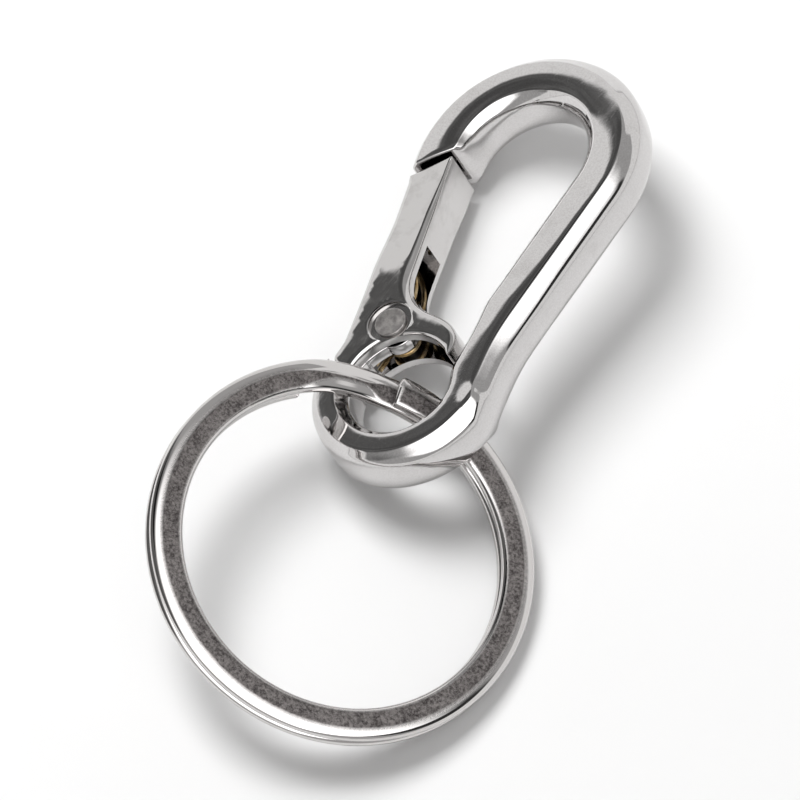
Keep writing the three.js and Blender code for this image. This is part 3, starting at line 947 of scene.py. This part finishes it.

# %% [markdown]
# ## Rivet, spring wire and ring steel
# The rivet's head is left as struck: dull, with a grain. The spring is drawn wire with a warm
# passivated colour. The ring is one wire: its flats come from the tumbler mottled and satin, and its
# rolled edges are smoother. Its colour also paints light and shade: the flats are painted dark, a
# painted dark reflection, and the edges are painted bright, a painted highlight. The UV map runs
# round the section, so one smooth mask along it parts the two.

# %% Small metals


def struck(spot, uv):
    """Fine grain over blotches."""
    grain = spot.noise(7000.0, 3.0, 0.7)
    blotch = spot.noise(1500.0, 3.0, 0.6)
    colour = mixed(blotch.step(0.35, 0.7), (0.30, 0.285, 0.28), (0.50, 0.48, 0.465))
    return colour, grain * 0.25 + 0.25, grain + blotch * 0.5, 0.00003


def drawn_wire(spot, uv):
    """Draw marks along the wire, a warm film in patches."""
    lines = uv.scaled(6.0, 60.0, 1.0).noise(3.0, 2.0, 0.5)
    film = spot.noise(1200.0, 2.0, 0.5).step(0.35, 0.65)
    colour = mixed(film, (0.42, 0.29, 0.13), (0.55, 0.43, 0.26))
    return colour, lines * 0.2 + 0.15, lines, 0.000008


def ring_steel(spot, uv):
    """Mottled satin on the flats, bright on the rolled edges, and the colour paints light and shade:
    the flats are painted dark, a painted dark reflection under a random mottle, and the rolled edges,
    the cut ends and the edges along the crossover are painted bright, a painted highlight. The mask
    is the distance round the section from the middle of the nearest flat."""
    around = uv.part("Y")
    to_flat = around.math("PINGPONG", around, 0.25)
    along = uv.part("X")
    # painted highlight: the wire's two cut ends are painted in the bright edge colour
    cut_end_painted_bright = 1 - along.math("PINGPONG", along, 0.5).step(0.0050, 0.0068)
    # painted highlight: along the crossover the bright edge colour is painted wider
    crossover_painted_bright = along.step(0.472, 0.498) * (1 - along.step(0.508, 0.520))
    edge = to_flat.math("MAXIMUM", (to_flat + crossover_painted_bright * 0.10).step(0.100, 0.150), cut_end_painted_bright)
    mottle = spot.noise(4200.0, 4.0, 0.75)
    cloud = spot.noise(900.0, 3.0, 0.6)
    fine = spot.noise(14000.0, 2.0, 0.6)
    tone = (mottle * 0.75 + cloud * 0.25).step(0.34, 0.68)
    # painted dark reflection: the flats' colour is near black, under a random tumbled mottle
    flat_painted_dark_colour = mixed(tone, (0.042, 0.037, 0.037), (0.25, 0.232, 0.226))
    # painted highlight: the rolled edges get the bright colour, the flats the painted dark one
    colour = mixed(edge, flat_painted_dark_colour, (0.64, 0.622, 0.614))
    satin = mottle * 0.30 + 0.30
    rough = satin * (1 - edge) + edge * 0.06
    height = (mottle + fine * 0.4) * (1 - edge)
    return colour, rough, height, 0.00004


rivet_metal = metal("struck_rivet", struck)
wire_metal = metal("drawn_spring_wire", drawn_wire)
# the ring's material paints highlights on its edges and a dark reflection on its flats
ring_metal = metal("ring_steel_painted_light_and_shade", ring_steel)

# %% [markdown]
# ## Who moves with whom
# Every piece stands for its CAD node and rides on that node's body, so that a pose moves the fine
# surface as it moves the solid.

# %% Dress and attach
pieces = [
    (hook, hook_plating, "hook_body", "carabiner_body", "cast_body"),
    (lever, gate_plating, "gate_lever", "gate", "cast_gate"),
    (rivet, rivet_metal, "gate_lever", "pivot_pin", "rivet"),
    (spring, wire_metal, "gate_lever", "gate_spring", "spring_wire"),
    (ring, ring_metal, "ring", "split_ring", "ring_steel"),
]
for piece, finish, body, node, slot in pieces:
    piece.data.materials.clear()
    piece.data.materials.append(finish)
    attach(piece, body)
    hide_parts(node)
    print(piece.name, "rides on", body)

# %% [markdown]
# ## Floor, light and camera
# Chrome shows its surroundings more than itself, so most of the light's work is in the room. A low
# white wall runs all round the white table. High on the left the room is dark, and draws the dark
# bands down the front of the bar. Two smaller patches are darker still: one nearly overhead edges
# those bands in black, and one high on the right draws a thin streak. A large soft box overhead
# makes the white streaks, and a key light on the left throws the soft shadows. So that the two jobs
# don't mix, the soft box is seen only in reflections and the key is never reflected. The camera
# looks from far away through a long lens, so near and far parts keep their true proportions.

# %% Floor
FLOOR_HALF = 1.2
floor_mesh = bpy.data.meshes.new("floor")
floor_corners = [(FLOOR_HALF * x, FLOOR_HALF * y, 0) for x, y in ((-1, -1), (1, -1), (1, 1), (-1, 1))]
floor_mesh.from_pydata(floor_corners, [], [(0, 1, 2, 3)])
floor = bpy.data.objects.new("floor", floor_mesh)
bpy.context.scene.collection.objects.link(floor)
paper = bpy.data.materials.new("white_table")
paper.use_nodes = True
paper_shader = paper.node_tree.nodes["Principled BSDF"]
paper_shader.inputs["Base Color"].default_value = (0.9, 0.9, 0.9, 1)
paper_shader.inputs["Roughness"].default_value = 0.9
paper_shader.inputs["Specular IOR Level"].default_value = 0.0
floor_mesh.materials.append(paper)

# %% The room
world = bpy.data.worlds.new("studio")
world.use_nodes = True
bpy.context.scene.world = world
way = coordinate(world.node_tree, "Generated")


def towards(x, y, z):
    """How far a direction of view points the given way, from -1 to 1."""
    aim = Vector((x, y, z)).normalized()
    dot = way.node("VectorMath", {"operation": "DOT_PRODUCT"}, i0=way, i1=tuple(aim))
    return Socket(world.node_tree, dot.source.node.outputs["Value"])


WALL_TOP, WALL_LIGHT = (0.27, 0.315), 0.95
WALL_SLOPE, WALL_LEVEL_FROM = 0.35, -0.15  # the wall is higher at the back
ROOM_LIGHT, ROOM_DARK, ROOM_CLUTTER, BLACK_EDGE, FAR_STREAK = 0.46, 0.30, 0.07, 0.17, 0.42
sideways_rise = way.part("Y").math("MAXIMUM", way.part("Y"), WALL_LEVEL_FROM) * WALL_SLOPE
wall = 1 - (way.part("Z") - sideways_rise).step(*WALL_TOP)
dark_side = towards(-0.80, -0.25, 0.55).step(0.71, 0.80)
black_edge = towards(-0.42, 0.17, 0.89).step(0.955, 0.985)
far_streak = towards(0.78, 0.20, 0.59).step(0.945, 0.978)
clutter = way.noise(5.0, 3.0, 0.6).step(0.35, 0.65)
darkness = (ROOM_DARK + ROOM_CLUTTER * clutter) * dark_side
room = ROOM_LIGHT - darkness - BLACK_EDGE * black_edge - FAR_STREAK * far_streak
lit = wall * WALL_LIGHT + (1 - wall) * room
light = lit.math("MAXIMUM", lit, 0.01)
background = world.node_tree.nodes["Background"]
world.node_tree.links.new(light.source, background.inputs["Strength"])
background.inputs["Color"].default_value = (1.0, 0.995, 0.99, 1)

# %% Soft boxes


def soft_box(name, place_at, aim_from, width, depth, radiance, fade=0.25, near_fade=0.25):
    """A rectangular light at a place, as bright as a surface of that radiance. It shines the
    opposite way to aim_from, and fades out towards its edges over a share of each side."""
    lamp = bpy.data.lights.new(name, "AREA")
    lamp.shape = "RECTANGLE"
    lamp.size, lamp.size_y = width, depth
    lamp.energy = radiance * np.pi * width * depth
    lamp.use_nodes = True
    emission = lamp.node_tree.nodes["Emission"]
    geometry = lamp.node_tree.nodes.new("ShaderNodeNewGeometry")
    spot = Socket(lamp.node_tree, geometry.outputs["Parametric"])
    shade = 1.0
    for axis, start in ("X", near_fade), ("Y", fade):
        side = spot.part(axis)
        shade = side.step(0.0, start) * (1 - side.step(1 - fade, 1.0)) * shade
    lamp.node_tree.links.new(shade.source, emission.inputs["Strength"])
    made = bpy.data.objects.new(name, lamp)
    made.location = place_at
    made.rotation_euler = Vector(aim_from).to_track_quat("Z", "Y").to_euler()
    bpy.context.scene.collection.objects.link(made)
    return made


BOX_PLACE, BOX_WIDTH, BOX_DEPTH, BOX_LIGHT = (0.235, -0.20, 0.6), 0.93, 1.15, 2.1
overhead = soft_box(
    "overhead_box", BOX_PLACE, (0, 0, 1), BOX_WIDTH, BOX_DEPTH, BOX_LIGHT, near_fade=0.03
)
overhead.visible_diffuse = False
overhead.visible_camera = False
KEY_PLACE = Vector((-0.52, 0.12, 0.85)).normalized() * 0.6
KEY_SIDE, KEY_LIGHT = 0.36, 13.8
key = soft_box("key_box", KEY_PLACE, KEY_PLACE, KEY_SIDE, KEY_SIDE, KEY_LIGHT)
key.visible_glossy = False
key.visible_camera = False
print("world and lights ready")

# %% Camera
CAMERA_RIGHT = Vector((0.8309, 0.5547, 0.0439))
CAMERA_UP = Vector((-0.5136, 0.7341, 0.4442))
back = CAMERA_RIGHT.cross(CAMERA_UP).normalized()
right = CAMERA_UP.cross(back).normalized()
up_way = back.cross(right)
vertices = np.concatenate([[vertex.co for vertex in piece.data.vertices] for piece, *_ in pieces])
seen = np.stack([vertices @ np.array(right), vertices @ np.array(up_way)], -1)
low_seen, high_seen = seen.min(0), seen.max(0)
middle_seen = (low_seen + high_seen) / 2
HEIGHT_ABOVE = 0.005  # of the keyring's middle over the table, along the line of sight
centre = middle_seen[0] * right + middle_seen[1] * up_way + HEIGHT_ABOVE * back

LENS, SENSOR = 900.0, 36.0
FRAME_SHARE = 0.86  # of the picture's height that the keyring takes
distance = (high_seen[1] - low_seen[1]) / FRAME_SHARE * LENS / SENSOR
camera_data = bpy.data.cameras.new("camera")
camera_data.lens, camera_data.sensor_width = LENS, SENSOR
camera_data.clip_start, camera_data.clip_end = 0.01, 10
camera = bpy.data.objects.new("camera", camera_data)
rotation = Matrix((right, up_way, back)).transposed()
camera.matrix_world = Matrix.Translation(centre + back * distance) @ rotation.to_4x4()
bpy.context.scene.collection.objects.link(camera)
bpy.context.scene.camera = camera
bpy.context.scene.view_settings.view_transform = "Standard"
print("camera distance, m:", round(distance, 3))
